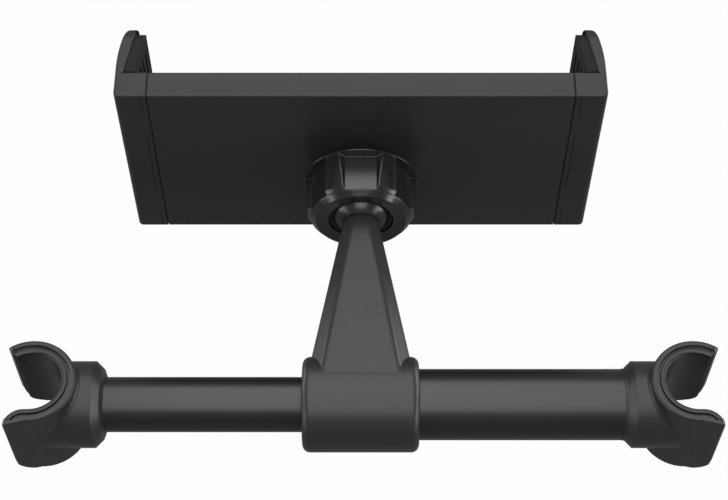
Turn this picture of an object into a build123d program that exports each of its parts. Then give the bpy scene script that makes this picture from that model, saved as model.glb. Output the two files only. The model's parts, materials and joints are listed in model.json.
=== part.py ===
from build123d import *
import os
from math import cos, radians, sin, sqrt, tan

# Headrest tablet mount, in millimetres. The fixed headrest post is the Z axis and the bar runs along X
# towards the sliding post. The arm points to +Y, where the tablet sits.

# Posts and bar
POST_SPACING = 150.0
ARM_TO_FIXED_POST = 75.7
OUTER_TUBE_DIAMETER = 16.4
OUTER_TUBE_WALL = 1.2
INNER_TUBE_WALL = 1.1
INNER_TUBE_FLAT = 0.5
BUSH_WALL = 0.56

# Fits
STATIC_GAP = 0.03
SLIDE_GAP = 0.06
BALL_GAP = 0.06
THREAD_GAP = 0.08
RAIL_GAP = 0.25

# Reach of a cut that passes right through
BEYOND = 100.0

# Hooks and their pads
CHANNEL_RADIUS = 7.0
PAD_THICKNESS = 1.2
HOOK_OVER_COLLAR = 0.2
HOOK_ABOVE_COLLAR = 2.3
HOOK_RIM_FILLET = 0.7
FAR_TIP_ANGLE = 55.5
LIP_START = 0.85
LIP_RADIUS = 4.5
LIP_PAD_ANGLE = 26.0
LIP_TIP_ANGLE = 8.0
LIP_FLARE = 1.1
FAR_CORNER_RADIUS = 6.5
NEAR_CORNER_RADIUS = 6.5
UPPER_CORNER_RADIUS = 1.2
PAD_GROOVE_WIDTH = 0.7
PAD_GROOVE_DEPTH = 0.8
PAD_RECESS = 0.3
PAD_EDGE_FILLET = 0.5

# Collars between hook and tube
COLLAR_WALL = 1.8
COLLAR_REACH = 13.3
COLLAR_CHAMFER = 1.7
COLLAR_END_CONE = 0.65
COLLAR_FILLET = 1.1
SOCKET_WALL = 3.2

# End plugs and hook screws
END_PLUG_LENGTH = 11.0
HOOK_SCREW_HEAD_DIAMETER = 5.2
HOOK_SCREW_HEAD_HEIGHT = 1.5
HOOK_SCREW_DIAMETER = 2.6
HOOK_SCREW_LENGTH = 9.0

# Sleeve and arm
SLEEVE_WALL = 2.8
SLEEVE_LENGTH = 26.8
SLEEVE_END_FILLET = 1.8
SLEEVE_LIP = 2.0
SLEEVE_LIP_GAP = 0.4
ARM_BASE_REACH = 1.5
ARM_BASE_HALF_WIDTH = 12.7
ARM_BASE_HALF_HEIGHT = 10.8
ARM_BASE_CHAMFER = 3.5
ARM_EDGE_FILLET = 2.0
SET_SCREW_DIAMETER = 4.0
SET_SCREW_OFFSET = 4.0
SET_SCREW_SOCKET = 2.0

# Bush, stop plug and spring of the bar
BUSH_LENGTH = 12.0
STOP_LENGTH = 8.0
STOP_SPIGOT_LENGTH = 7.0
BAR_SPRING_DIAMETER = 11.6
BAR_SPRING_WIRE = 1.1
BAR_SPRING_TURNS = 9

# Ball joint
BALL_REACH = 56.1
BALL_RADIUS = 8.3
NECK_RADIUS = 4.3
BALL_SHOULDER_RADIUS = 5.0
SPIGOT_DIAMETER = 5.6
SPIGOT_LENGTH = 8.0
BALL_SCREW_HEAD_DIAMETER = 5.0
BALL_SCREW_HEAD_HEIGHT = 1.5
BALL_SCREW_DIAMETER = 2.4
BALL_SCREW_LENGTH = 11.0
SEAT_THICKNESS = 0.75
FRONT_SEAT_INNER_ANGLE = 57.0
FRONT_SEAT_OUTER_ANGLE = 80.0
REAR_SEAT_INNER_ANGLE = 24.0
REAR_SEAT_OUTER_ANGLE = 58.0

# Lock nut
NUT_REAR = 6.2
NUT_SHOULDER = -3.5
NUT_RIM = -4.3
NUT_NOSE = -5.8
NUT_REAR_RADIUS = 14.4
NUT_BODY_RADIUS = 14.1
NUT_SHOULDER_RADIUS = 13.2
NUT_RIM_RADIUS = 12.4
NUT_RIM_WIDTH = 0.2
NUT_NOSE_RADIUS = 11.1
NUT_NOSE_WIDTH = 0.6
NUT_DISH_DEPTH = 0.4
NUT_LIP_RADIUS = 8.0
NUT_THREAD_FRONT = -1.4
NUT_FLANGE = 0.5
NUT_HOLLOWS = 6
HOLLOW_FLOOR = 11.6
HOLLOW_HALF_WIDTH = 3.9
HOLLOW_FRONT_SPLAY = 12.0
HOLLOW_REAR_SPLAY = 45.0
NUT_EDGE_FILLET = 0.3

# Clamp covers
PLATE_STANDOFF = 11.4
PLATE_HALF_LENGTH = 51.0
PLATE_HEIGHT = 56.6
PLATE_THICKNESS = 7.3
BACK_WALL = 1.5
SIDE_WALL = 1.6
FRONT_WALL = 2.1
PLATE_EDGE_FILLET = 0.5
BOSS_RADIUS = 10.6
BOSS_FRONT = 0.4
BOSS_SHOULDER = 8.0
STEM_RADIUS = 7.0
STEM_FRONT = 10.2
GUIDE_POST_INSET = 6.0
GUIDE_POST_RADIUS = 2.1
SIDE_POST_GAP = 1.15
COVER_SCREW_DIAMETER = 1.8
COVER_SCREW_HEAD_DIAMETER = 3.6
COVER_SCREW_HEAD_HEIGHT = 0.9
COVER_SCREW_LENGTH = 4.2
FRONT_PAD_SIDE_MARGIN = 3.25
FRONT_PAD_TOP_MARGIN = 5.75
FRONT_PAD_THICKNESS = 1.4
FRONT_PAD_RECESS = 0.6
FRONT_PAD_CORNER = 3.0
FRONT_PAD_RIB_PITCH = 6.0
FRONT_PAD_RIB_GAP = 1.2

# Jaws
JAW_SEAM = 0.15
JAW_LENGTH = 7.85
JAW_DEPTH = 23.3
JAW_ROOT_WALL = 1.8
JAW_TIP_WALL = 1.9
JAW_STRAIGHT = 9.0
JAW_TIP_LEAN = 2.6
JAW_TIP_SLOPE = 0.3
JAW_TIP_CORNER = 6.0
JAW_TIP_OUTER_FILLET = 1.0
JAW_TIP_INNER_FILLET = 0.7
JAW_BACK_FILLET = 1.3
JAW_RIM_FILLET = 0.45
JAW_SEAM_CHAMFER = 0.25
SEAM_LINE_OFFSET = 1.2
SEAM_LINE_WIDTH = 0.3
SEAM_LINE_DEPTH = 0.15
SEAM_LINE_MIDDLE = 12.0
SEAM_LINE_END = 21.0
RAIL_TO_SPRING = 9.0
RAIL_INNER_END = 3.0
SLOT_END_WALL = 4.65
EAR_LENGTH = 5.0
EAR_TONGUE = 1.0
EAR_PEG_INSET = 1.2
JAW_PAD_THICKNESS = 2.8
JAW_PAD_RECESS = 0.5
JAW_PAD_BORDER = 0.9
JAW_PAD_FOOT = 0.8
JAW_PAD_TIP_FILLET = 1.6
JAW_PAD_RIB_PITCH = 2.4
JAW_PAD_RIB_GAP = 0.8
JAW_PAD_RIB_DEPTH = 0.4

# Jaw springs
JAW_SPRING_MARGIN = 2.05
JAW_SPRING_DIAMETER = 3.2
JAW_SPRING_WIRE = 0.5
JAW_SPRING_TURNS = 36
SPRING_PEG_DIAMETER = 1.6
SPRING_POST_INSET = 6.5

# Derived places
ARM_X = -ARM_TO_FIXED_POST
SLIDING_POST_X = -POST_SPACING
OUTER_TUBE_BORE = OUTER_TUBE_DIAMETER - 2 * OUTER_TUBE_WALL
INNER_TUBE_DIAMETER = OUTER_TUBE_BORE - 2 * (STATIC_GAP + BUSH_WALL + SLIDE_GAP)
INNER_TUBE_BORE = INNER_TUBE_DIAMETER - 2 * INNER_TUBE_WALL
COLLAR_DIAMETER = OUTER_TUBE_DIAMETER + 2 * COLLAR_WALL
PAD_BACK_RADIUS = CHANNEL_RADIUS + PAD_THICKNESS
HOOK_RADIUS = COLLAR_DIAMETER / 2 + HOOK_OVER_COLLAR
HOOK_WALL = HOOK_RADIUS - PAD_BACK_RADIUS
HOOK_HEIGHT = COLLAR_DIAMETER + 2 * HOOK_ABOVE_COLLAR
SOCKET_REACH = PAD_BACK_RADIUS + SOCKET_WALL
SLEEVE_DIAMETER = OUTER_TUBE_DIAMETER + 2 * SLEEVE_WALL
SLEEVE_LEFT = ARM_X - SLEEVE_LENGTH / 2
OUTER_TUBE_LEFT = SLEEVE_LEFT + SLEEVE_LIP
BUSH_RIGHT = OUTER_TUBE_LEFT + BUSH_LENGTH
STOP_RIGHT = BUSH_RIGHT + STOP_LENGTH
FIXED_PLUG_LEFT = -SOCKET_REACH - END_PLUG_LENGTH
SHOULDER_REACH = BALL_REACH - sqrt(BALL_RADIUS ** 2 - BALL_SHOULDER_RADIUS ** 2)
SEAT_INNER_RADIUS = BALL_RADIUS + BALL_GAP
SEAT_OUTER_RADIUS = SEAT_INNER_RADIUS + SEAT_THICKNESS
SOCKET_RADIUS = SEAT_OUTER_RADIUS + BALL_GAP
BALL_FLAT = sqrt(BALL_RADIUS ** 2 - (BALL_SCREW_HEAD_DIAMETER / 2 + 0.5) ** 2)
PLATE_BACK = BALL_REACH + PLATE_STANDOFF
PLATE_FRONT = PLATE_BACK + PLATE_THICKNESS
CAVITY_BACK = PLATE_BACK + BACK_WALL
CAVITY_FRONT = PLATE_FRONT - FRONT_WALL
PAD_FLOOR = PLATE_FRONT - FRONT_PAD_RECESS
RAIL_BACK = CAVITY_BACK + RAIL_GAP
RAIL_THICKNESS = CAVITY_FRONT - CAVITY_BACK - 2 * RAIL_GAP
GUIDE_POST_X = PLATE_HALF_LENGTH - GUIDE_POST_INSET
SPRING_POST_X = PLATE_HALF_LENGTH - SPRING_POST_INSET
JAW_SPRING_Z = PLATE_HEIGHT / 2 - SIDE_WALL - JAW_SPRING_MARGIN - JAW_SPRING_DIAMETER / 2
RAIL_HALF_HEIGHT = JAW_SPRING_Z - RAIL_TO_SPRING
SIDE_POST_Z = RAIL_HALF_HEIGHT + SIDE_POST_GAP + RAIL_GAP + GUIDE_POST_RADIUS
FRONT_PAD_LENGTH = 2 * (PLATE_HALF_LENGTH - FRONT_PAD_SIDE_MARGIN)
FRONT_PAD_HEIGHT = PLATE_HEIGHT - 2 * FRONT_PAD_TOP_MARGIN
JAW_START = PLATE_HALF_LENGTH + JAW_SEAM
JAW_OUTER = JAW_START + JAW_LENGTH
JAW_INNER_ROOT = JAW_OUTER - JAW_ROOT_WALL
JAW_TIP_OUTER = JAW_OUTER - JAW_TIP_LEAN
JAW_INNER_TIP = JAW_TIP_OUTER - JAW_TIP_WALL
SLOT_HALF_WIDTH = GUIDE_POST_RADIUS + RAIL_GAP
JAW_TRAVEL = GUIDE_POST_X - RAIL_INNER_END - SLOT_END_WALL - SLOT_HALF_WIDTH
EAR_PEG_X = RAIL_INNER_END + EAR_PEG_INSET
POST_SITES = [(GUIDE_POST_X, 0), (-GUIDE_POST_X, 0), (0, SIDE_POST_Z), (0, -SIDE_POST_Z)]


def polar(radius, angle, centre=(0, 0)):
    return (centre[0] + radius * cos(radians(angle)), centre[1] + radius * sin(radians(angle)))


def arc(radius, start, end, centre=(0, 0)):
    middle = polar(radius, (start + end) / 2, centre)
    return ThreePointArc(polar(radius, start, centre), middle, polar(radius, end, centre))


def along_x(radius, start, end):
    return Pos((start + end) / 2, 0, 0) * Rot(0, 90, 0) * Cylinder(radius, abs(end - start))


def along_y(radius, start, end, x=0, z=0):
    return Pos(x, (start + end) / 2, z) * Rot(90, 0, 0) * Cylinder(radius, abs(end - start))


def block(x, y, z):
    centre = ((x[0] + x[1]) / 2, (y[0] + y[1]) / 2, (z[0] + z[1]) / 2)
    return Pos(*centre) * Box(abs(x[1] - x[0]), abs(y[1] - y[0]), abs(z[1] - z[0]))


def turned(points, axis):
    """Solid of revolution from points of (place on the axis, radius)."""
    if axis == Axis.X:
        outline = Polyline(*[(a, r) for a, r in points], close=True)
    else:
        outline = Polyline(*[(r, a) for a, r in points], close=True)
    return revolve(make_face(outline), axis)


def from_above(outline, height):
    return Pos(0, 0, -height / 2) * extrude(make_face(outline), height)


def lip_centre():
    return (LIP_START, -(CHANNEL_RADIUS + LIP_RADIUS))


def hook_plan(recess):
    """Hook seen from above, its inner edge cut back by recess where the pad lies."""
    inner = CHANNEL_RADIUS + recess
    lip = LIP_RADIUS - recess
    centre = lip_centre()
    tip_inner = polar(LIP_RADIUS, LIP_TIP_ANGLE, centre)
    tip_outer = (tip_inner[0] - HOOK_WALL / 4, -HOOK_RADIUS - LIP_FLARE)
    return Curve() + [
        arc(HOOK_RADIUS, FAR_TIP_ANGLE, 270),
        Line((0, -HOOK_RADIUS), tip_outer),
        Line(tip_outer, tip_inner),
        arc(LIP_RADIUS, LIP_TIP_ANGLE, LIP_PAD_ANGLE, centre),
        Line(polar(LIP_RADIUS, LIP_PAD_ANGLE, centre), polar(lip, LIP_PAD_ANGLE, centre)),
        arc(lip, LIP_PAD_ANGLE, 90, centre),
        Line((LIP_START, -inner), (0, -inner)),
        arc(inner, 270, FAR_TIP_ANGLE),
        Line(polar(inner, FAR_TIP_ANGLE), polar(HOOK_RADIUS, FAR_TIP_ANGLE)),
    ]


def pad_plan(front, back):
    """Strip along the channel, from front to back in depth behind the post's surface."""
    centre = lip_centre()
    near, far = LIP_RADIUS - front, LIP_RADIUS - back
    inner, outer = CHANNEL_RADIUS + front, CHANNEL_RADIUS + back
    start = LIP_PAD_ANGLE + 2
    end = FAR_TIP_ANGLE + 2
    return Curve() + [
        arc(near, start, 90, centre),
        Line((LIP_START, -inner), (0, -inner)),
        arc(inner, 270, end),
        Line(polar(inner, end), polar(outer, end)),
        arc(outer, end, 270),
        Line((0, -outer), (LIP_START, -outer)),
        arc(far, 90, start, centre),
        Line(polar(far, start, centre), polar(near, start, centre)),
    ]


def corner_cut(place, turn, radius, side):
    """Waste outside a rounded corner at the top (side 1) or the bottom (side -1) of a prong.

    The prong's end passes through place, seen from above, and faces turn degrees from +X.
    """
    edge = HOOK_HEIGHT / 2
    z = side * (edge - radius)
    reach = CHANNEL_RADIUS
    waste = block((-radius, radius), (-reach, reach), (z, side * (edge + radius)))
    keep = Pos(-radius, 0, z) * Rot(90, 0, 0) * Cylinder(radius, 3 * reach)
    return Pos(*place) * Rot(0, 0, turn) * (waste - keep)


def on_both(edge, upright, level):
    """True where an edge lies on the upright cylinder and on the level one."""
    for t in (0.2, 0.5, 0.8):
        p = edge.position_at(t)
        if abs(sqrt(p.X ** 2 + p.Y ** 2) - upright) > 0.01:
            return False
        if abs(sqrt(p.Y ** 2 + p.Z ** 2) - level) > 0.01:
            return False
    return True


def on_rim(edge):
    """True for the outer edges of the hook's upper and lower rims."""
    for t in (0.2, 0.5, 0.8):
        p = edge.position_at(t)
        on_wall = abs(sqrt(p.X ** 2 + p.Y ** 2) - HOOK_RADIUS) < 0.01
        on_flare = p.X > 0 and p.Y < -HOOK_RADIUS + 0.001
        if abs(abs(p.Z) - HOOK_HEIGHT / 2) > 0.001 or not (on_wall or on_flare):
            return False
    return True


def corner_cuts():
    far = polar(PAD_BACK_RADIUS, FAR_TIP_ANGLE)
    near = polar(LIP_RADIUS, LIP_TIP_ANGLE, lip_centre())
    return [
        corner_cut(far, FAR_TIP_ANGLE - 90, FAR_CORNER_RADIUS, -1),
        corner_cut(near, 0, NEAR_CORNER_RADIUS, -1),
        corner_cut(far, FAR_TIP_ANGLE - 90, UPPER_CORNER_RADIUS, 1),
        corner_cut(near, 0, UPPER_CORNER_RADIUS, 1),
    ]


def hook(tube_radius):
    """Hook on its post axis, with its mouth towards +X."""
    collar_radius = COLLAR_DIAMETER / 2
    shoulder = COLLAR_REACH + COLLAR_CHAMFER
    mouth = shoulder + COLLAR_END_CONE
    collar = turned(
        [
            (0, 0),
            (0, collar_radius),
            (-COLLAR_REACH, collar_radius),
            (-shoulder, collar_radius - COLLAR_CHAMFER),
            (-mouth, tube_radius + 2 * STATIC_GAP),
            (-mouth, 0),
        ],
        Axis.X,
    )
    body = Cylinder(HOOK_RADIUS, HOOK_HEIGHT) + collar
    body = fillet([e for e in body.edges() if on_both(e, HOOK_RADIUS, collar_radius)], COLLAR_FILLET)
    body = body - block((0, BEYOND), (-BEYOND, BEYOND), (-BEYOND, BEYOND))
    body = body - Cylinder(PAD_BACK_RADIUS, 2 * HOOK_HEIGHT)
    body = body + from_above(hook_plan(PAD_THICKNESS), HOOK_HEIGHT)
    body = fillet([e for e in body.edges() if on_rim(e)], HOOK_RIM_FILLET)
    groove_height = HOOK_HEIGHT / 2 - PAD_GROOVE_DEPTH / 2
    groove = pad_plan(PAD_THICKNESS - STATIC_GAP, PAD_THICKNESS + PAD_GROOVE_WIDTH)
    groove = from_above(groove, PAD_GROOVE_DEPTH)
    body = body - Pos(0, 0, groove_height) * groove - Pos(0, 0, -groove_height) * groove
    for waste in corner_cuts():
        body = body - waste
    body = body - along_x(tube_radius + STATIC_GAP, -mouth - 1, -SOCKET_REACH)
    body = body - along_x(HOOK_SCREW_DIAMETER / 2 + STATIC_GAP, -SOCKET_REACH - 1, 0)
    return body - along_x(HOOK_SCREW_HEAD_DIAMETER / 2 + 0.2, head_seat(), 0)


def head_seat():
    """Floor of the hollow for the hook screw's head, from the post axis."""
    return -PAD_BACK_RADIUS - HOOK_SCREW_HEAD_HEIGHT - 2 * STATIC_GAP


def hook_pad():
    body = from_above(pad_plan(0, PAD_THICKNESS - STATIC_GAP), HOOK_HEIGHT - 2 * PAD_RECESS)
    rim = [e for e in body.edges() if abs(e.position_at(0).Z - e.position_at(1).Z) < 0.001]
    inner = [e for e in rim if on_channel(e)]
    body = fillet(inner, PAD_EDGE_FILLET)
    for waste in corner_cuts():
        body = body - waste
    return body


def on_channel(edge):
    """True for the edges of the pad along the post's surface."""
    p = edge.position_at(0.5)
    on_post = abs(sqrt(p.X ** 2 + p.Y ** 2) - CHANNEL_RADIUS) < 0.01
    x, y = p.X - lip_centre()[0], p.Y - lip_centre()[1]
    on_lip = p.X > 0 and abs(sqrt(x ** 2 + y ** 2) - LIP_RADIUS) < 0.01
    on_flat = abs(p.Y + CHANNEL_RADIUS) < 0.01
    return on_post or on_lip or on_flat


def end_plug(bore):
    """Plug that ends at x = 0 and reaches back into the tube."""
    plug = along_x(bore / 2 - STATIC_GAP, -END_PLUG_LENGTH, 0)
    return plug - along_x(HOOK_SCREW_DIAMETER / 2 + STATIC_GAP, -HOOK_SCREW_LENGTH - 1, 1)


def cross_recess(depth, width, length):
    """Driver recess, open towards +X at x = 0."""
    bar = block((-depth, 1), (-length / 2, length / 2), (-width / 2, width / 2))
    return bar + Rot(90, 0, 0) * bar


def driver_recess(head_diameter, head_height):
    """Cross recess that suits a screw's head."""
    return cross_recess(0.6 * head_height, 0.14 * head_diameter, 0.6 * head_diameter)


def hook_screw():
    """Screw along X with its head's underside at x = 0 and its head towards +X."""
    head = along_x(HOOK_SCREW_HEAD_DIAMETER / 2, 0, HOOK_SCREW_HEAD_HEIGHT)
    head = fillet(head.edges().sort_by(Axis.X)[-1], HOOK_SCREW_HEAD_HEIGHT * 0.4)
    recess = driver_recess(HOOK_SCREW_HEAD_DIAMETER, HOOK_SCREW_HEAD_HEIGHT)
    shank = along_x(HOOK_SCREW_DIAMETER / 2, -HOOK_SCREW_LENGTH, 0)
    return head + shank - Pos(HOOK_SCREW_HEAD_HEIGHT, 0, 0) * recess


def tube(diameter, bore, start, end):
    return along_x(diameter / 2, start, end) - along_x(bore / 2, start - 1, end + 1)


def flat_waste(depth, start, end):
    """Waste below the inner tube's flat, which keeps the two hooks in line."""
    level = -INNER_TUBE_DIAMETER / 2 + depth
    return block((start, end), (-BEYOND, BEYOND), (level - BEYOND, level))


def inner_tube():
    start, end = SLIDING_POST_X + SOCKET_REACH, BUSH_RIGHT
    body = tube(INNER_TUBE_DIAMETER, INNER_TUBE_BORE, start, end)
    return body - flat_waste(INNER_TUBE_FLAT, start - 1, end + 1)


def guide_bush():
    body = along_x(OUTER_TUBE_BORE / 2 - STATIC_GAP, OUTER_TUBE_LEFT, BUSH_RIGHT)
    hole = along_x(INNER_TUBE_DIAMETER / 2 + SLIDE_GAP, OUTER_TUBE_LEFT - 1, BUSH_RIGHT + 1)
    hole = hole - flat_waste(INNER_TUBE_FLAT - SLIDE_GAP, OUTER_TUBE_LEFT - 2, BUSH_RIGHT + 2)
    return body - hole


def stop_plug():
    flange = along_x(OUTER_TUBE_BORE / 2 - SLIDE_GAP, BUSH_RIGHT, STOP_RIGHT)
    return flange + along_x(INNER_TUBE_BORE / 2 - STATIC_GAP, BUSH_RIGHT - STOP_SPIGOT_LENGTH, BUSH_RIGHT)


def coil(diameter, wire, turns, start, end):
    """Open coil along X, its wire just inside start and end."""
    radius = (diameter - wire) / 2
    height = end - start - wire - 4 * STATIC_GAP
    path = Helix(pitch=height / turns, height=height, radius=radius)
    section = Plane(origin=path @ 0, z_dir=path % 0) * Circle(wire / 2)
    return Pos(start + wire / 2 + 2 * STATIC_GAP, 0, 0) * Rot(0, 90, 0) * sweep(section, path=path)


def upright(y):
    """Plane across the arm at y, its normal towards +Y and its own y axis upwards."""
    return Plane(origin=(0, y, 0), x_dir=(-1, 0, 0), z_dir=(0, 1, 0))


def octagon(half_width, half_height, cut, y):
    inner, low = half_width - cut, half_height - cut
    points = [(inner, half_height), (half_width, low), (half_width, -low), (inner, -half_height)]
    points = points + [(-a, -b) for a, b in points]
    return upright(y) * make_face(Polyline(*points, close=True))


def support_arm():
    half = SLEEVE_LENGTH / 2
    sleeve = along_x(SLEEVE_DIAMETER / 2, -half, half)
    sleeve = fillet(sleeve.edges().filter_by(GeomType.CIRCLE), SLEEVE_END_FILLET)
    base = octagon(ARM_BASE_HALF_WIDTH, ARM_BASE_HALF_HEIGHT, ARM_BASE_CHAMFER, ARM_BASE_REACH)
    neck = octagon(NECK_RADIUS, NECK_RADIUS, NECK_RADIUS * (2 - sqrt(2)), SHOULDER_REACH)
    arm = loft([base, neck], ruled=True)
    ridges = [e for e in arm.edges() if abs(e.position_at(0).Y - e.position_at(1).Y) > 1]
    arm = fillet(ridges, ARM_EDGE_FILLET)
    body = sleeve + arm + along_y(SPIGOT_DIAMETER / 2, SHOULDER_REACH - 1, SHOULDER_REACH + SPIGOT_LENGTH)
    body = body - along_x(OUTER_TUBE_DIAMETER / 2 + STATIC_GAP, SLEEVE_LIP - half, half + 1)
    body = body - along_x(INNER_TUBE_DIAMETER / 2 + SLEEVE_LIP_GAP, -half - 1, 0)
    body = body - Pos(SET_SCREW_OFFSET, 0, -SLEEVE_DIAMETER / 2) * Cylinder(
        SET_SCREW_DIAMETER / 2 + STATIC_GAP, SLEEVE_DIAMETER
    )
    pilot_end = ball_screw_seat() - BALL_SCREW_LENGTH - 1
    body = body - along_y(BALL_SCREW_DIAMETER / 2 + STATIC_GAP, pilot_end, BALL_REACH + BALL_RADIUS)
    return Pos(ARM_X, 0, 0) * body


def set_screw():
    inner_end = OUTER_TUBE_DIAMETER / 2
    outer_end = SLEEVE_DIAMETER / 2 - 0.3
    length = outer_end - inner_end
    body = Pos(0, 0, -(inner_end + outer_end) / 2) * Cylinder(SET_SCREW_DIAMETER / 2, length)
    hexagon = RegularPolygon(SET_SCREW_SOCKET / 2, 6, major_radius=False)
    socket = Pos(0, 0, -outer_end) * extrude(hexagon, 1.4)
    return Pos(ARM_X + SET_SCREW_OFFSET, 0, 0) * (body - socket)


def ball_screw_seat():
    return BALL_REACH + BALL_FLAT - BALL_SCREW_HEAD_HEIGHT - STATIC_GAP


def swivel_ball():
    shoulder = SHOULDER_REACH - BALL_REACH
    wide = (-BEYOND, BEYOND)
    ball = Sphere(BALL_RADIUS) - block(wide, (-BEYOND, shoulder), wide)
    ball = Pos(0, BALL_REACH, 0) * (ball - block(wide, (BALL_FLAT, BEYOND), wide))
    spigot_end = SHOULDER_REACH + SPIGOT_LENGTH + 0.2
    ball = ball - along_y(SPIGOT_DIAMETER / 2 + STATIC_GAP, SHOULDER_REACH - 1, spigot_end)
    ball = ball - along_y(BALL_SCREW_DIAMETER / 2 + STATIC_GAP, spigot_end - 1, BEYOND)
    ball = ball - along_y(BALL_SCREW_HEAD_DIAMETER / 2 + 0.1, ball_screw_seat(), BEYOND)
    return Pos(ARM_X, 0, 0) * ball


def ball_screw():
    seat = ball_screw_seat()
    body = along_y(BALL_SCREW_HEAD_DIAMETER / 2, seat, seat + BALL_SCREW_HEAD_HEIGHT)
    body = body + along_y(BALL_SCREW_DIAMETER / 2, seat - BALL_SCREW_LENGTH, seat)
    recess = Rot(0, 0, 90) * driver_recess(BALL_SCREW_HEAD_DIAMETER, BALL_SCREW_HEAD_HEIGHT)
    return Pos(ARM_X, 0, 0) * (body - Pos(0, seat + BALL_SCREW_HEAD_HEIGHT, 0) * recess)


def ball_seat(start, end):
    """Liner ring round the arm's axis, between two angles measured from the ball's equator plane."""
    outline = Curve() + [
        arc(SEAT_INNER_RADIUS, start, end),
        Line(polar(SEAT_INNER_RADIUS, end), polar(SEAT_OUTER_RADIUS, end)),
        arc(SEAT_OUTER_RADIUS, end, start),
        Line(polar(SEAT_OUTER_RADIUS, start), polar(SEAT_INNER_RADIUS, start)),
    ]
    return Pos(ARM_X, BALL_REACH, 0) * revolve(make_face(outline), Axis.Y)


def nut_outside(y):
    """Radius of the nut's tapered outside, at y from the ball's centre."""
    taper = (y - NUT_SHOULDER) / (NUT_REAR - NUT_FLANGE - NUT_SHOULDER)
    return NUT_SHOULDER_RADIUS + taper * (NUT_BODY_RADIUS - NUT_SHOULDER_RADIUS)


def hollow_section(splay, y):
    """Cut across one finger hollow of the nut, its sides leaning out by splay degrees."""
    top = NUT_REAR_RADIUS + 1
    spread = HOLLOW_HALF_WIDTH + (top - HOLLOW_FLOOR) * tan(radians(splay))
    points = [(HOLLOW_HALF_WIDTH, HOLLOW_FLOOR), (spread, top), (-spread, top)]
    outline = Polyline(*points, (-HOLLOW_HALF_WIDTH, HOLLOW_FLOOR), close=True)
    return upright(y) * make_face(outline)


def lock_nut():
    step = NUT_REAR - NUT_FLANGE
    rear = [(NUT_REAR, 0), (NUT_REAR, NUT_REAR_RADIUS), (step, NUT_REAR_RADIUS), (step, NUT_BODY_RADIUS)]
    rim = [(NUT_RIM, NUT_RIM_RADIUS), (NUT_RIM - NUT_RIM_WIDTH, NUT_RIM_RADIUS)]
    nose = [(NUT_NOSE, NUT_NOSE_RADIUS), (NUT_NOSE, 0)]
    body = turned(rear + [(NUT_SHOULDER, NUT_SHOULDER_RADIUS)] + rim + nose, Axis.Y)
    sections = [hollow_section(HOLLOW_FRONT_SPLAY, NUT_RIM), hollow_section(HOLLOW_REAR_SPLAY, step)]
    hollow = loft(sections, ruled=True)
    for i in range(NUT_HOLLOWS):
        body = body - Rot(0, i * 360 / NUT_HOLLOWS, 0) * hollow
    ridges = [e for e in body.edges() if on_ridge(e)]
    body = fillet(ridges, NUT_EDGE_FILLET)
    dish_edge = NUT_NOSE_RADIUS - NUT_NOSE_WIDTH
    dish_floor = NUT_NOSE + NUT_DISH_DEPTH
    body = body - turned(
        [(NUT_NOSE, 0), (NUT_NOSE, dish_edge), (dish_floor, NUT_LIP_RADIUS), (dish_floor, 0)], Axis.Y
    )
    body = body - along_y(NUT_LIP_RADIUS, NUT_NOSE - 1, 0) - Sphere(SOCKET_RADIUS)
    body = body - along_y(BOSS_RADIUS + THREAD_GAP, NUT_THREAD_FRONT, NUT_REAR + 1)
    return Pos(ARM_X, BALL_REACH, 0) * body


def on_ridge(edge):
    """True for the long edges of the nut's hollows, where they meet its tapered outside."""
    a, b = edge.position_at(0), edge.position_at(1)
    if abs(a.Y - b.Y) < 2:
        return False
    for p in (a, b):
        if abs(sqrt(p.X ** 2 + p.Z ** 2) - nut_outside(p.Y)) > 0.01:
            return False
    return True


def back_cover():
    long, tall = PLATE_HALF_LENGTH, PLATE_HEIGHT / 2
    body = block((-long, long), (PLATE_BACK, PLATE_FRONT), (-tall, tall))
    body = fillet(body.edges().filter_by(Axis.X), PLATE_EDGE_FILLET)
    inner = tall - SIDE_WALL
    across = (SIDE_WALL - long, long - SIDE_WALL)
    body = body - block(across, (CAVITY_BACK, PLATE_FRONT + 1), (-inner, inner))
    body = body - block((-long - 1, long + 1), (CAVITY_FRONT, PLATE_FRONT + 1), (-inner, inner))
    rail = RAIL_HALF_HEIGHT + RAIL_GAP
    body = body - block((-long - 1, long + 1), (CAVITY_BACK, PLATE_FRONT + 1), (-rail, rail))
    root = PLATE_STANDOFF + BACK_WALL / 2
    cup = [(BOSS_FRONT, 0), (BOSS_FRONT, BOSS_RADIUS), (BOSS_SHOULDER, BOSS_RADIUS)]
    stem = [(STEM_FRONT, STEM_RADIUS), (root, STEM_RADIUS), (root, 0)]
    cup = turned(cup + stem, Axis.Y) - Sphere(SOCKET_RADIUS)
    body = body + Pos(0, BALL_REACH, 0) * cup
    for x, z in POST_SITES:
        body = body + along_y(GUIDE_POST_RADIUS, CAVITY_BACK - 0.5, CAVITY_FRONT, x, z)
        body = body - along_y(COVER_SCREW_DIAMETER / 2 + STATIC_GAP, CAVITY_BACK, PLATE_FRONT, x, z)
    peg = SPRING_PEG_DIAMETER / 2
    body = body + along_y(peg, CAVITY_BACK - 0.5, CAVITY_FRONT, SPRING_POST_X, JAW_SPRING_Z)
    body = body + along_y(peg, CAVITY_BACK - 0.5, CAVITY_FRONT, -SPRING_POST_X, -JAW_SPRING_Z)
    return Pos(ARM_X, 0, 0) * body


def front_panel(length, height, start, thickness):
    return extrude(upright(start) * RectangleRounded(length, height, FRONT_PAD_CORNER), thickness)


def cover_screw_seat():
    return PAD_FLOOR - COVER_SCREW_HEAD_HEIGHT - STATIC_GAP


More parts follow.
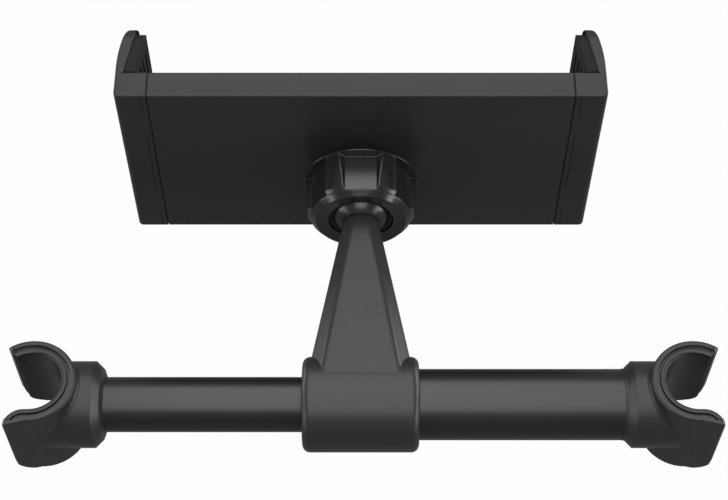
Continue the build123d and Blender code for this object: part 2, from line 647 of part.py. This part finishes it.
def front_cover():
    long = PLATE_HALF_LENGTH
    tall = PLATE_HEIGHT / 2 - SIDE_WALL - STATIC_GAP
    body = block((-long, long), (CAVITY_FRONT, PLATE_FRONT), (-tall, tall))
    body = body - front_panel(FRONT_PAD_LENGTH, FRONT_PAD_HEIGHT, PAD_FLOOR, FRONT_PAD_RECESS + 1)
    for x, z in POST_SITES:
        body = body - along_y(COVER_SCREW_DIAMETER / 2 + 0.15, CAVITY_FRONT - 1, PLATE_FRONT, x, z)
        body = body - along_y(COVER_SCREW_HEAD_DIAMETER / 2 + 0.15, cover_screw_seat(), PLATE_FRONT, x, z)
    return Pos(ARM_X, 0, 0) * body


def cover_screws():
    seat = cover_screw_seat()
    recess = Rot(0, 0, 90) * driver_recess(COVER_SCREW_HEAD_DIAMETER, COVER_SCREW_HEAD_HEIGHT)
    recess = Pos(0, seat + COVER_SCREW_HEAD_HEIGHT, 0) * recess
    screw = along_y(COVER_SCREW_HEAD_DIAMETER / 2, seat, seat + COVER_SCREW_HEAD_HEIGHT)
    screw = screw + along_y(COVER_SCREW_DIAMETER / 2, seat - COVER_SCREW_LENGTH, seat) - recess
    return Pos(ARM_X, 0, 0) * (Part() + [Pos(x, 0, z) * screw for x, z in POST_SITES])


def front_pad():
    gap = 2 * STATIC_GAP
    length, height = FRONT_PAD_LENGTH - 2 * gap, FRONT_PAD_HEIGHT - 2 * gap
    body = front_panel(length, height, PAD_FLOOR, FRONT_PAD_THICKNESS)
    face = PAD_FLOOR + FRONT_PAD_THICKNESS
    count = int((FRONT_PAD_HEIGHT - 2 * FRONT_PAD_CORNER) / FRONT_PAD_RIB_PITCH)
    for i in range(count + 1):
        z = (i - count / 2) * FRONT_PAD_RIB_PITCH
        run = FRONT_PAD_LENGTH / 2 - 2 * FRONT_PAD_CORNER
        width = FRONT_PAD_RIB_GAP / 2
        body = body - block((-run, run), (face - FRONT_PAD_RECESS, face + 1), (z - width, z + width))
    return Pos(ARM_X, 0, 0) * body


def jaw_inner(y):
    """Place of the right jaw's inner face at y."""
    run = PLATE_BACK + JAW_DEPTH - JAW_TIP_SLOPE - PLATE_FRONT
    return JAW_INNER_ROOT + (JAW_INNER_TIP - JAW_INNER_ROOT) * (y - PLATE_FRONT) / run


def jaw_pad_outline(front, back, margin):
    """Strip along the jaw's inner face, between two depths behind the face."""
    low = PLATE_FRONT + JAW_PAD_FOOT + margin
    high = PLATE_BACK + JAW_DEPTH - JAW_TIP_SLOPE - JAW_PAD_BORDER - margin
    corners = [(front, low), (back, low), (back, high), (front, high)]
    return Polyline(*[(jaw_inner(y) + depth, y) for depth, y in corners], close=True)


def tip_cut(tip_y, top, radius, side):
    """Waste outside the rounded upper (side 1) or lower (side -1) corner of a jaw's tip."""
    y, z = tip_y - radius, side * (top - radius)
    waste = block((0, BEYOND), (y, tip_y + radius), (z, side * (top + radius)))
    return waste - Pos(0, y, z) * along_x(radius, -1, BEYOND + 1)


def right_jaw():
    """Right jaw about the plate's centre line."""
    tip_y = PLATE_BACK + JAW_DEPTH
    bend = (JAW_OUTER, PLATE_BACK + JAW_STRAIGHT)
    tip_outer = (JAW_TIP_OUTER, tip_y)
    tip_inner = (JAW_INNER_TIP, tip_y - JAW_TIP_SLOPE)
    outline = Curve() + [
        Line((JAW_START, PLATE_BACK), (JAW_OUTER, PLATE_BACK)),
        Line((JAW_OUTER, PLATE_BACK), bend),
        TangentArc(bend, tip_outer, tangent=(0, 1)),
        Line(tip_outer, tip_inner),
        Line(tip_inner, (JAW_INNER_ROOT, PLATE_FRONT)),
        Line((JAW_INNER_ROOT, PLATE_FRONT), (JAW_START, PLATE_FRONT)),
        Line((JAW_START, PLATE_FRONT), (JAW_START, PLATE_BACK)),
    ]
    body = from_above(outline, PLATE_HEIGHT)
    body = fillet(upright_edges(body, (JAW_OUTER, PLATE_BACK)), JAW_BACK_FILLET)
    body = fillet(upright_edges(body, tip_outer), JAW_TIP_OUTER_FILLET)
    body = fillet(upright_edges(body, tip_inner), JAW_TIP_INNER_FILLET)
    top = PLATE_HEIGHT / 2
    body = body - tip_cut(tip_y, top, JAW_TIP_CORNER, 1) - tip_cut(tip_y, top, JAW_TIP_CORNER, -1)
    body = fillet([e for e in body.edges() if on_jaw_rim(e)], JAW_RIM_FILLET)
    body = chamfer(upright_edges(body, (JAW_START, PLATE_BACK)), JAW_SEAM_CHAMFER)
    for run in ((SEAM_LINE_END, top), (-SEAM_LINE_MIDDLE, SEAM_LINE_MIDDLE), (-top, -SEAM_LINE_END)):
        line = JAW_START + SEAM_LINE_OFFSET
        depth = (PLATE_BACK - 1, PLATE_BACK + SEAM_LINE_DEPTH)
        body = body - block((line, line + SEAM_LINE_WIDTH), depth, run)
    pad_top = top - JAW_PAD_BORDER
    body = body - from_above(jaw_pad_outline(-2, JAW_PAD_RECESS, 0), 2 * pad_top)
    return Pos(ARM_X, 0, 0) * (body + rail())


def on_jaw_rim(edge):
    """True for the edges round the jaw's upper and lower rims, tip corners included."""
    top = PLATE_HEIGHT / 2
    bend = PLATE_BACK + JAW_DEPTH - JAW_TIP_CORNER
    a, b, middle = edge.position_at(0), edge.position_at(1), edge.position_at(0.5)
    if max(a.X, b.X) < JAW_START + 0.01:
        return False
    if abs(abs(middle.Z) - top) < 0.001:
        return max(abs(a.Y - bend), abs(b.Y - bend)) > 0.001
    return abs(middle.Z) > top - JAW_TIP_CORNER and abs(a.Z - b.Z) > 0.001


def upright_edges(body, place):
    """Edges along Z through a place seen from above."""
    found = []
    for e in body.edges().filter_by(Axis.Z):
        p = e.position_at(0.5)
        if abs(p.X - place[0]) + abs(p.Y - place[1]) < 0.01:
            found.append(e)
    return found


def rail():
    """Flat rail of the right jaw, slotted for the guide post, with an ear for the spring."""
    front = RAIL_BACK + RAIL_THICKNESS
    ear = (RAIL_INNER_END, RAIL_INNER_END + EAR_LENGTH)
    ear_low = -JAW_SPRING_Z - JAW_SPRING_DIAMETER / 2
    ear_step = -JAW_SPRING_Z + JAW_SPRING_DIAMETER / 2 + RAIL_GAP
    body = block(
        (RAIL_INNER_END, PLATE_HALF_LENGTH + 2), (RAIL_BACK, front), (-RAIL_HALF_HEIGHT, RAIL_HALF_HEIGHT)
    )
    body = body + block(ear, (RAIL_BACK, front), (ear_step, -RAIL_HALF_HEIGHT + 1))
    body = body + block(ear, (RAIL_BACK, RAIL_BACK + EAR_TONGUE), (ear_low, ear_step + 1))
    body = body + along_y(SPRING_PEG_DIAMETER / 2, RAIL_BACK, front, EAR_PEG_X, -JAW_SPRING_Z)
    slot = SLOT_HALF_WIDTH
    slot_ends = (GUIDE_POST_X - JAW_TRAVEL, GUIDE_POST_X)
    body = body - block(slot_ends, (RAIL_BACK - 1, front + 1), (-slot, slot))
    for x in slot_ends:
        body = body - along_y(slot, RAIL_BACK - 1, front + 1, x)
    return body


def right_jaw_pad():
    pad_top = PLATE_HEIGHT / 2 - JAW_PAD_BORDER - 2 * STATIC_GAP
    proud = JAW_PAD_THICKNESS - JAW_PAD_RECESS
    body = from_above(jaw_pad_outline(-proud, JAW_PAD_RECESS - STATIC_GAP, 2 * STATIC_GAP), 2 * pad_top)
    tip_y = PLATE_BACK + JAW_DEPTH - JAW_TIP_SLOPE - JAW_PAD_BORDER
    end = tip_y - 2 * STATIC_GAP
    body = fillet(upright_edges(body, (jaw_inner(end) - proud, end)), JAW_PAD_TIP_FILLET)
    corner = JAW_TIP_CORNER - JAW_PAD_BORDER
    body = body - tip_cut(tip_y, pad_top, corner, 1) - tip_cut(tip_y, pad_top, corner, -1)
    foot = PLATE_FRONT + JAW_PAD_FOOT
    for i in range(1, int((tip_y - foot) / JAW_PAD_RIB_PITCH) + 1):
        y = foot + i * JAW_PAD_RIB_PITCH
        floor = jaw_inner(y) - proud + JAW_PAD_RIB_DEPTH
        gap = (y - JAW_PAD_RIB_GAP / 2, y + JAW_PAD_RIB_GAP / 2)
        reach = pad_top - corner
        body = body - block((floor - 2 * JAW_PAD_THICKNESS, floor), gap, (-reach, reach))
    return Pos(ARM_X, 0, 0) * body


def right_jaw_spring():
    """Return spring of the right jaw, from the post at the left to the peg on the ear."""
    y = RAIL_BACK + RAIL_THICKNESS / 2
    eye = SPRING_PEG_DIAMETER / 2 + JAW_SPRING_WIRE / 2 + SLIDE_GAP
    ends = (-SPRING_POST_X, EAR_PEG_X)
    body = coil(
        JAW_SPRING_DIAMETER, JAW_SPRING_WIRE, JAW_SPRING_TURNS, ends[0] + eye + 0.5, ends[1] - eye - 0.5
    )
    eyes = [Pos(x, 0, 0) * Rot(90, 0, 0) * Torus(eye, JAW_SPRING_WIRE / 2) for x in ends]
    return Pos(ARM_X, y, -JAW_SPRING_Z) * Compound(children=[body] + eyes)


def other_side(body):
    """The matching piece on the left, turned half a turn about the arm's axis."""
    return Pos(2 * ARM_X, 0, 0) * Rot(0, 180, 0) * body


def on_sliding_post(body):
    """A hook piece carried over to the sliding post, as its mirror image."""
    return Pos(SLIDING_POST_X, 0, 0) * mirror(body, Plane.YZ)


outer_radius = OUTER_TUBE_DIAMETER / 2
inner_radius = INNER_TUBE_DIAMETER / 2
parts = {
    "outer_tube": tube(OUTER_TUBE_DIAMETER, OUTER_TUBE_BORE, OUTER_TUBE_LEFT, -SOCKET_REACH),
    "support_arm": support_arm(),
    "set_screw": set_screw(),
    "guide_bush": guide_bush(),
    "bar_spring": coil(BAR_SPRING_DIAMETER, BAR_SPRING_WIRE, BAR_SPRING_TURNS, STOP_RIGHT, FIXED_PLUG_LEFT),
    "right_end_plug": Pos(-SOCKET_REACH, 0, 0) * end_plug(OUTER_TUBE_BORE),
    "right_hook": hook(outer_radius),
    "right_hook_pad": hook_pad(),
    "right_hook_screw": Pos(head_seat(), 0, 0) * hook_screw(),
    "inner_tube": inner_tube(),
    "stop_plug": stop_plug(),
    "left_end_plug": on_sliding_post(Pos(-SOCKET_REACH, 0, 0) * end_plug(INNER_TUBE_BORE)),
    "left_hook": on_sliding_post(hook(inner_radius)),
    "left_hook_pad": on_sliding_post(hook_pad()),
    "left_hook_screw": on_sliding_post(Pos(head_seat(), 0, 0) * hook_screw()),
    "swivel_ball": swivel_ball(),
    "ball_screw": ball_screw(),
    "rear_ball_seat": ball_seat(90 - REAR_SEAT_OUTER_ANGLE, 90 - REAR_SEAT_INNER_ANGLE),
    "front_ball_seat": ball_seat(FRONT_SEAT_INNER_ANGLE - 90, FRONT_SEAT_OUTER_ANGLE - 90),
    "lock_nut": lock_nut(),
    "back_cover": back_cover(),
    "front_cover": front_cover(),
    "front_pad": front_pad(),
    "cover_screws": cover_screws(),
    "right_jaw": right_jaw(),
    "right_jaw_pad": right_jaw_pad(),
    "right_jaw_spring": right_jaw_spring(),
    "left_jaw": other_side(right_jaw()),
    "left_jaw_pad": other_side(right_jaw_pad()),
    "left_jaw_spring": other_side(right_jaw_spring()),
}
os.makedirs("parts", exist_ok=True)
for name, part in parts.items():
    export_step(part, f"parts/{name}.step")
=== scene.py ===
# %% [markdown]
# # A headrest tablet mount
# The mount is a sprung bar between two headrest posts. A tapered arm stands out of the bar's sleeve, and a
# ball joint with a lock nut carries a clamp for a tablet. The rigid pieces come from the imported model, so
# this lesson opens that model, adds the three springs as soft coils, and gives each piece its finish.

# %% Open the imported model
import json
from math import pi, radians

import bmesh
import bpy
from mathutils import Matrix, Vector


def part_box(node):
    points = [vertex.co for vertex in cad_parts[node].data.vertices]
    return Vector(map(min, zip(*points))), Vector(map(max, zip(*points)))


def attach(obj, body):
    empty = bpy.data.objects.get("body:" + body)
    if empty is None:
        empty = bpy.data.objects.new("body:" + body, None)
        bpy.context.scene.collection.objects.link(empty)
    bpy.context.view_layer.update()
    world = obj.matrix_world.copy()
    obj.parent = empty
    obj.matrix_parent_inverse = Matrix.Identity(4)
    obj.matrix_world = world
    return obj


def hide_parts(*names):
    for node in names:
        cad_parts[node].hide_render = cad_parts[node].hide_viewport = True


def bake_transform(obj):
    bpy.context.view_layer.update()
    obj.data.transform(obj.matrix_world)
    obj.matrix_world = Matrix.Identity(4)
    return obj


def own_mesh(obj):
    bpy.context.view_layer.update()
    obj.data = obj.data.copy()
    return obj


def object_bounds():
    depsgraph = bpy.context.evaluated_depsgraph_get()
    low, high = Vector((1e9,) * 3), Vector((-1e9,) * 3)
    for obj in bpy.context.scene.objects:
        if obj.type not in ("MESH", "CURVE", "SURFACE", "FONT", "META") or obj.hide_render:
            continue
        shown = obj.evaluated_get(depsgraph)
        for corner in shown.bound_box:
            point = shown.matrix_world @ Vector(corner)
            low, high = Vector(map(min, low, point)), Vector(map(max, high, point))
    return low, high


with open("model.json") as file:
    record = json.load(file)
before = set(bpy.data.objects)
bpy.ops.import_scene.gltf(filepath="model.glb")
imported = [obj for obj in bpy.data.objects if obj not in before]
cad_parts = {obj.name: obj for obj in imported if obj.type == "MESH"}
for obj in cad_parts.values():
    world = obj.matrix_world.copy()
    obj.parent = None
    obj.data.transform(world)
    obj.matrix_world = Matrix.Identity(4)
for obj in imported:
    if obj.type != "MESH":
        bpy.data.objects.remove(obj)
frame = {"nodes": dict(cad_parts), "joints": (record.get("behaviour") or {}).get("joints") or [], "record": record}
cad_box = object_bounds()
scene = bpy.context.scene
MM = 0.001

# %% [markdown]
# ## The camera
# The photograph looks down on the bar from the seat's back, with a long lens whose perspective still shows
# in the plate's leaning sides. A camera could be set by eye, but the tubes and hooks are known sizes, so its
# place follows from them: it is tipped down 58 degrees and centred between the two posts.

# %% Place the camera
IMAGE_WIDTH = 728
FOCAL_PIXELS = 1709
SENSOR_WIDTH = 36.0
SHIFT_RIGHT_PIXELS = 0.3
SHIFT_DOWN_PIXELS = 0.5
VIEW_DROP = 58
CAMERA_TILT = radians(90 - VIEW_DROP)
right_post = Vector((0, 0, 0))
left_post = Vector(next(m["pos_m"] for m in frame["record"]["mounts"] if m["name"] == "left_post_clamp"))
CAMERA_BACK = 178.9 * MM
CAMERA_RISE = 353.4 * MM

lens = bpy.data.cameras.new("camera")
lens.sensor_width = SENSOR_WIDTH
lens.lens = SENSOR_WIDTH * FOCAL_PIXELS / IMAGE_WIDTH
lens.shift_x = SHIFT_RIGHT_PIXELS / IMAGE_WIDTH
lens.shift_y = SHIFT_DOWN_PIXELS / IMAGE_WIDTH
camera = bpy.data.objects.new("camera", lens)
camera.location = (left_post + right_post) / 2 + Vector((0, -CAMERA_BACK, CAMERA_RISE))
camera.rotation_euler = (CAMERA_TILT, 0, 0)
scene.collection.objects.link(camera)
scene.camera = camera
print("lens:", round(lens.lens, 1), "mm")

# %% [markdown]
# ## Writing shader maths as expressions
# Node trees become hard to read when each Math node is wired by hand. A small class can wrap one output
# socket, so that an ordinary expression such as `1 - mask` adds the Math node it needs. A second class holds
# a material and adds every other kind of node through one method.

# %% Wrap sockets and materials
def plug(tree, socket, value):
    """Links a signal to a socket, or sets a plain value on it."""
    if isinstance(value, Signal):
        tree.links.new(value.socket, socket)
    else:
        socket.default_value = value


class Signal:
    """One output socket whose arithmetic adds Math nodes to its tree."""

    def __init__(self, socket):
        self.socket = socket
        self.tree = socket.id_data

    def maths(self, operation, first, second):
        node = self.tree.nodes.new("ShaderNodeMath")
        node.operation = operation
        plug(self.tree, node.inputs[0], first)
        plug(self.tree, node.inputs[1], second)
        return Signal(node.outputs[0])

    def __add__(self, other):
        return self.maths("ADD", self, other)

    def __radd__(self, other):
        return self.maths("ADD", other, self)

    def __sub__(self, other):
        return self.maths("SUBTRACT", self, other)

    def __rsub__(self, other):
        return self.maths("SUBTRACT", other, self)

    def __mul__(self, other):
        return self.maths("MULTIPLY", self, other)

    def __rmul__(self, other):
        return self.maths("MULTIPLY", other, self)


class Graph:
    """A node tree, to which one method adds nodes."""

    def __init__(self, tree):
        self.tree = tree

    def node(self, kind, settings=None, sockets=None, output=0):
        """Adds a node of a kind, with its settings first and then the values or links of its sockets."""
        node = self.tree.nodes.new(kind)
        for name, value in (settings or {}).items():
            setattr(node, name, value)
        for name, value in (sockets or {}).items():
            plug(self.tree, node.inputs[name], value)
        return Signal(node.outputs[output])

    def seen(self):
        """One for rays that show the surroundings: straight to the lens, or by way of gloss or glass."""
        rays = ("Is Camera Ray", "Is Glossy Ray", "Is Transmission Ray")
        return sum(self.node("ShaderNodeLightPath", output=ray) for ray in rays)


class Finish(Graph):
    """A material with one Principled shader."""

    def __init__(self, name, **constants):
        self.material = bpy.data.materials.new(name)
        self.material.use_nodes = True
        super().__init__(self.material.node_tree)
        self.shader = self.tree.nodes["Principled BSDF"]
        for socket, value in constants.items():
            self.shader.inputs[socket.replace("_", " ")].default_value = value
        self.place = self.node("ShaderNodeTexCoord", output="Object")

    def noise(self, size, detail=2.0):
        """Noise whose features are about size metres across."""
        sockets = {"Vector": self.place, "Scale": 1 / size, "Detail": detail}
        return self.node("ShaderNodeTexNoise", None, sockets)

    def blend(self, factor, first, second):
        """Mix of two colours."""
        sockets = {0: factor, 6: first, 7: second}
        return self.node("ShaderNodeMix", {"data_type": "RGBA"}, sockets, output=2)

    def vary(self, **signals):
        """Links signals to the shader's own sockets."""
        for socket, value in signals.items():
            plug(self.tree, self.shader.inputs[socket.replace("_", " ")], value)

    def relief(self, height, depth, edge_radius):
        """Bump of a real depth in metres, over edges softened to a radius."""
        soft = self.node("ShaderNodeBevel", {"samples": 6}, {"Radius": edge_radius})
        sockets = {"Height": height, "Distance": depth, "Strength": 1.0, "Normal": soft}
        self.vary(Normal=self.node("ShaderNodeBump", None, sockets))

    def edge_mask(self, radius):
        """Nought on flat faces, rising towards edges that a softened normal turns away from."""
        soft = self.node("ShaderNodeBevel", {"samples": 6}, {"Radius": radius})
        true = self.node("ShaderNodeNewGeometry", output="Normal")
        settings = {"operation": "DOT_PRODUCT"}
        facing = self.node("ShaderNodeVectorMath", settings, {0: soft, 1: true}, output=1)
        return 1 - facing


MAGENTA_TINT = 0.05


def grey(level):
    """Near-neutral colour, a little towards magenta, as an RGBA tuple."""
    return (level, level * (1 - MAGENTA_TINT), level, 1)


# %% [markdown]
# ## The finishes
# Every visible piece is dark plastic, rubber or painted tube, and they differ in how they were made. The arm
# and the hooks come from an etched mould and carry a fine grain. The tubes are painted and smooth, and the
# plate and the jaws are smoother still. The hooks' pads are rubber with a sheen, and the tablet's pads are
# matt. Each finish is a function of surface position, so the grain has its real size on every piece.

# %% Make the finishes
GRAIN_SIZE = 0.28 * MM
GRAIN_DEPTH = 0.022 * MM
PEEL_SIZE = 1.1 * MM
PEEL_DEPTH = 0.004 * MM
SKIN_SIZE = 0.5 * MM
SKIN_DEPTH = 0.003 * MM
PIT_SIZE = 0.22 * MM
PIT_DEPTH = 0.008 * MM
DRAWN_MARK_SIZE = 0.35 * MM
DRAWN_MARK_DEPTH = 0.003 * MM


def grained_plastic(name, level, roughness, specular):
    """Plastic from an etched mould: fine grain, with edges rubbed slightly lighter."""
    finish = Finish(name, Specular_IOR_Level=specular)
    grain = finish.noise(GRAIN_SIZE, detail=1.5)
    cloud = finish.noise(9 * MM)
    rubbed = finish.edge_mask(0.5 * MM)
    shade = finish.blend(cloud * 0.6 + rubbed * 0.5, grey(level * 0.92), grey(level * 1.25))
    finish.vary(Base_Color=shade, Roughness=roughness - 0.06 + grain * 0.12)
    finish.relief(grain, GRAIN_DEPTH, 0.3 * MM)
    return finish.material


def painted_tube(name, level, roughness, specular):
    """Satin paint on a drawn tube, with the faint waviness that paint dries to."""
    finish = Finish(name, Specular_IOR_Level=specular)
    peel = finish.noise(PEEL_SIZE, detail=1.0)
    cloud = finish.noise(14 * MM)
    finish.vary(
        Base_Color=finish.blend(cloud, grey(level * 0.95), grey(level * 1.06)),
        Roughness=roughness - 0.03 + cloud * 0.06,
    )
    finish.relief(peel, PEEL_DEPTH, 0.2 * MM)
    return finish.material


def smooth_plastic(name, level, roughness, specular):
    """Plastic from a polished mould: almost flat, with a low sheen that drifts across the face."""
    finish = Finish(name, Specular_IOR_Level=specular)
    cloud = finish.noise(22 * MM)
    fine = finish.noise(SKIN_SIZE, detail=1.0)
    rubbed = finish.edge_mask(0.4 * MM)
    shade = finish.blend(cloud * 0.5 + rubbed * 0.5, grey(level * 0.94), grey(level * 1.2))
    finish.vary(Base_Color=shade, Roughness=roughness - 0.04 + cloud * 0.08)
    finish.relief(fine, SKIN_DEPTH, 0.35 * MM)
    return finish.material


def rubber(name, level, roughness, specular):
    """Soft rubber with a fine pitted skin."""
    finish = Finish(name, Specular_IOR_Level=specular)
    pits = finish.noise(PIT_SIZE)
    cloud = finish.noise(6 * MM)
    finish.vary(
        Base_Color=finish.blend(cloud, grey(level * 0.9), grey(level * 1.12)),
        Roughness=roughness - 0.05 + pits * 0.1,
    )
    finish.relief(pits, PIT_DEPTH, 0.3 * MM)
    return finish.material


def wire_steel(name, level, roughness):
    """Bright steel with faint drawing marks."""
    finish = Finish(name, Metallic=1.0)
    marks = finish.noise(DRAWN_MARK_SIZE, detail=3.0)
    finish.vary(
        Base_Color=finish.blend(marks, grey(level * 0.85), grey(level * 1.1)),
        Roughness=roughness - 0.05 + marks * 0.1,
    )
    finish.relief(marks, DRAWN_MARK_DEPTH, 0.1 * MM)
    return finish.material


grained = grained_plastic("grained_plastic", 0.022, 0.36, 0.32)
tube_paint = painted_tube("tube_paint", 0.010, 0.34, 0.44)
plate_plastic = smooth_plastic("plate_plastic", 0.022, 0.34, 0.20)
nut_plastic = smooth_plastic("nut_plastic", 0.010, 0.20, 0.50)
ball_plastic = smooth_plastic("ball_plastic", 0.012, 0.26, 0.50)
liner_plastic = smooth_plastic("liner_plastic", 0.012, 0.5, 0.3)
hook_rubber = rubber("hook_rubber", 0.010, 0.30, 0.35)
pad_rubber = rubber("pad_rubber", 0.012, 0.6, 0.15)
steel = wire_steel("steel", 0.5, 0.32)
black_steel = wire_steel("black_steel", 0.05, 0.45)
print("finishes:", len(bpy.data.materials))

# %% [markdown]
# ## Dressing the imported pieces
# The record says which slot each node takes its finish from, so one table from slot to material dresses
# them all. The nut shares a slot with the plate, and the hooks' pads share one with the tablet's pads, but
# not a sheen. A second table holds these exceptions.

# %% Give each node its finish
SLOT_FINISH = {
    "tube": tube_paint,
    "housing": grained,
    "cover": plate_plastic,
    "ball": ball_plastic,
    "liner": liner_plastic,
    "pad": pad_rubber,
    "steel": steel,
    "black_steel": black_steel,
}
NODE_FINISH = {"lock_nut": nut_plastic, "right_hook_pad": hook_rubber, "left_hook_pad": hook_rubber}
for entry in frame["record"]["subparts"]:
    node = frame["nodes"][entry["node"]]
    node.data.materials.clear()
    node.data.materials.append(NODE_FINISH.get(entry["node"], SLOT_FINISH[entry["material_slot"]]))

# %% [markdown]
# ## The springs
# A coil spring is a round wire carried round an axis while it moves along it. A curve with a bevel could do
# it, but a spin with a step along its axis makes the same coil from one small circle. The bar's spring gets
# shorter as the hooks are pushed together, and the jaws' springs get longer. The bar's coil is carried
# with the bar, and the jaws' coils are wound to the length of the imported springs.

# %% Wind the coils
STEPS_PER_TURN = 20
WIRE_SIDES = 8


def wind(bm, start, run, radius, wire, turns, axis=(1, 0, 0)):
    """Adds a round wire carried about an axis through start, moving by run along X in all."""
    ring = bmesh.ops.create_circle(bm, segments=WIRE_SIDES, radius=wire / 2, cap_ends=run != 0)["verts"]
    if axis[0]:
        across = Matrix.Rotation(pi / 2, 3, "X")
        offset = Vector((0, 0, radius))
    else:
        across = Matrix.Identity(3)
        offset = Vector((radius, 0, 0))
    bmesh.ops.rotate(bm, verts=ring, cent=(0, 0, 0), matrix=across)
    bmesh.ops.translate(bm, verts=ring, vec=start + offset)
    edges = {e for v in ring for e in v.link_edges}
    faces = {f for v in ring for f in v.link_faces}
    steps = round(turns * STEPS_PER_TURN)
    bmesh.ops.spin(
        bm,
        geom=ring + list(edges) + list(faces),
        cent=start,
        axis=axis,
        dvec=(run / steps, 0, 0),
        angle=2 * pi * turns,
        steps=steps,
        use_merge=run == 0,
    )


def spring(name, bm):
    """Closes a spring's mesh and makes it a piece."""
    bmesh.ops.recalc_face_normals(bm, faces=bm.faces[:])
    mesh = bpy.data.meshes.new(name)
    bm.to_mesh(mesh)
    bm.free()
    mesh.shade_smooth()
    mesh.materials.append(steel)
    piece = bpy.data.objects.new(name, mesh)
    scene.collection.objects.link(piece)
    print(name, len(mesh.polygons), "faces")
    return piece


def ends_along_x(node, inset):
    """Middles of a node's two ends along X, moved inwards by inset."""
    low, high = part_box(node)
    middle = (low + high) / 2
    return Vector((low.x + inset, middle.y, middle.z)), Vector((high.x - inset, middle.y, middle.z))


def joint_range(name):
    """Upper end of a sliding joint's range, in metres."""
    return next(j for j in frame["joints"] if j["name"] == name)["range_m"][1]


BAR_WIRE = 1.1 * MM
BAR_COIL = 11.6 * MM
start, end = ends_along_x("bar_spring", BAR_WIRE / 2)
bm = bmesh.new()
wind(bm, start, end.x - start.x, (BAR_COIL - BAR_WIRE) / 2, BAR_WIRE, 9)
bar_coil = spring("bar_coil", bm)
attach(bar_coil, "bar")
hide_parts("bar_spring")
keep = 1 - joint_range("bar_slide") / (end.x - start.x)
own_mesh(bar_coil)

# %% Wind the jaws' springs
JAW_WIRE = 0.5 * MM
JAW_COIL = 3.2 * MM
EYE_RADIUS = 1.11 * MM
EYE_TO_COIL = 0.8 * MM
for side in ("right", "left"):
    node = side + "_jaw_spring"
    first, last = ends_along_x(node, EYE_RADIUS + JAW_WIRE / 2)
    gap = Vector((EYE_RADIUS + EYE_TO_COIL, 0, 0))
    bm = bmesh.new()
    wind(bm, first + gap, last.x - first.x - 2 * gap.x, (JAW_COIL - JAW_WIRE) / 2, JAW_WIRE, 36)
    for eye in (first, last):
        wind(bm, eye, 0, EYE_RADIUS, JAW_WIRE, 1, axis=(0, 1, 0))
    piece = spring(side + "_jaw_coil", bm)
    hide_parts(node)
    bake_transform(piece)

# %% [markdown]
# ## Floor and light
# The photograph has a plain white ground and soft light from above, with a strip at each side that runs
# along the edges. Area lamps do this well, because their size sets how soft a highlight is. The floor and
# the world are white to the lens, so the ground is as plain as the photograph's and shows no shadow. In
# gloss they show only dimly, because a bright floor there lightens the faces that look down.

# %% Lay the floor
FLOOR_DROP = 110 * MM
FLOOR_REACH = 4.0
FLOOR_IN_GLOSS = 0.12
FLOOR_TO_LENS = 0.99
low, high = cad_box
floor_mesh = bpy.data.meshes.new("floor")
bm = bmesh.new()
bmesh.ops.create_grid(bm, x_segments=1, y_segments=1, size=FLOOR_REACH)
bmesh.ops.translate(bm, verts=bm.verts[:], vec=(0, 0, low[2] - FLOOR_DROP))
bm.to_mesh(floor_mesh)
bm.free()
floor = bpy.data.objects.new("floor", floor_mesh)
scene.collection.objects.link(floor)

ground = Finish("ground", Base_Color=grey(0.12), Roughness=0.9, Specular_IOR_Level=0.0)
glow = ground.node("ShaderNodeEmission", None, {"Color": (1, 1, 1, 1), "Strength": 1.0})
plain = Signal(ground.shader.outputs[0])
lens_ray = ground.node("ShaderNodeLightPath", output="Is Camera Ray")
share = ground.seen() * FLOOR_IN_GLOSS + lens_ray * (FLOOR_TO_LENS - FLOOR_IN_GLOSS)
shown = ground.node("ShaderNodeMixShader", None, {0: share, 1: plain, 2: glow})
plug(ground.tree, ground.tree.nodes["Material Output"].inputs["Surface"], shown)
floor_mesh.materials.append(ground.material)

# %% Hang the lamps
OVERHEAD_HEIGHT = 0.55
OVERHEAD_SHIFT = -0.02
OVERHEAD_SIZE = (0.50, 1.42)
OVERHEAD_POWER = 7.0
SIDE_REACH = 0.6
SIDE_SHIFT = 0.1
SIDE_RISE = 0.06
SIDE_SIZE = (1.4, 0.24)
LEFT_POWER = 4.5
RIGHT_POWER = 6.5


def softbox(name, place, target, size, power):
    """Rectangular lamp at a place, turned to face a target."""
    lamp = bpy.data.lights.new(name, "AREA")
    lamp.shape = "RECTANGLE"
    lamp.size, lamp.size_y = size
    lamp.energy = power
    box = bpy.data.objects.new(name, lamp)
    box.location = place
    box.rotation_euler = (target - place).to_track_quat("-Z", "Y").to_euler()
    scene.collection.objects.link(box)


middle = (Vector(low) + Vector(high)) / 2
below = middle + Vector((0, OVERHEAD_SHIFT, 0))
softbox("overhead", below + Vector((0, 0, OVERHEAD_HEIGHT)), below, OVERHEAD_SIZE, OVERHEAD_POWER)
aim = middle + Vector((0, SIDE_SHIFT, SIDE_RISE))
for side, power in ((-1, LEFT_POWER), (1, RIGHT_POWER)):
    softbox("side", aim + Vector((side * SIDE_REACH, 0, 0)), aim, SIDE_SIZE, power)
print("lamps:", len(bpy.data.lights))

# %% Light the surroundings
AMBIENT = 0.02
WORLD_IN_GLOSS = 0.3
world = bpy.data.worlds.new("studio")
world.use_nodes = True
studio = Graph(world.node_tree)
lens_ray = studio.node("ShaderNodeLightPath", output="Is Camera Ray")
brightness = studio.seen() * WORLD_IN_GLOSS + lens_ray * (1 - WORLD_IN_GLOSS - AMBIENT) + AMBIENT
plug(studio.tree, studio.tree.nodes["Background"].inputs["Color"], (1, 1, 1, 1))
plug(studio.tree, studio.tree.nodes["Background"].inputs["Strength"], brightness)
scene.world = world
scene.view_settings.view_transform = "Standard"
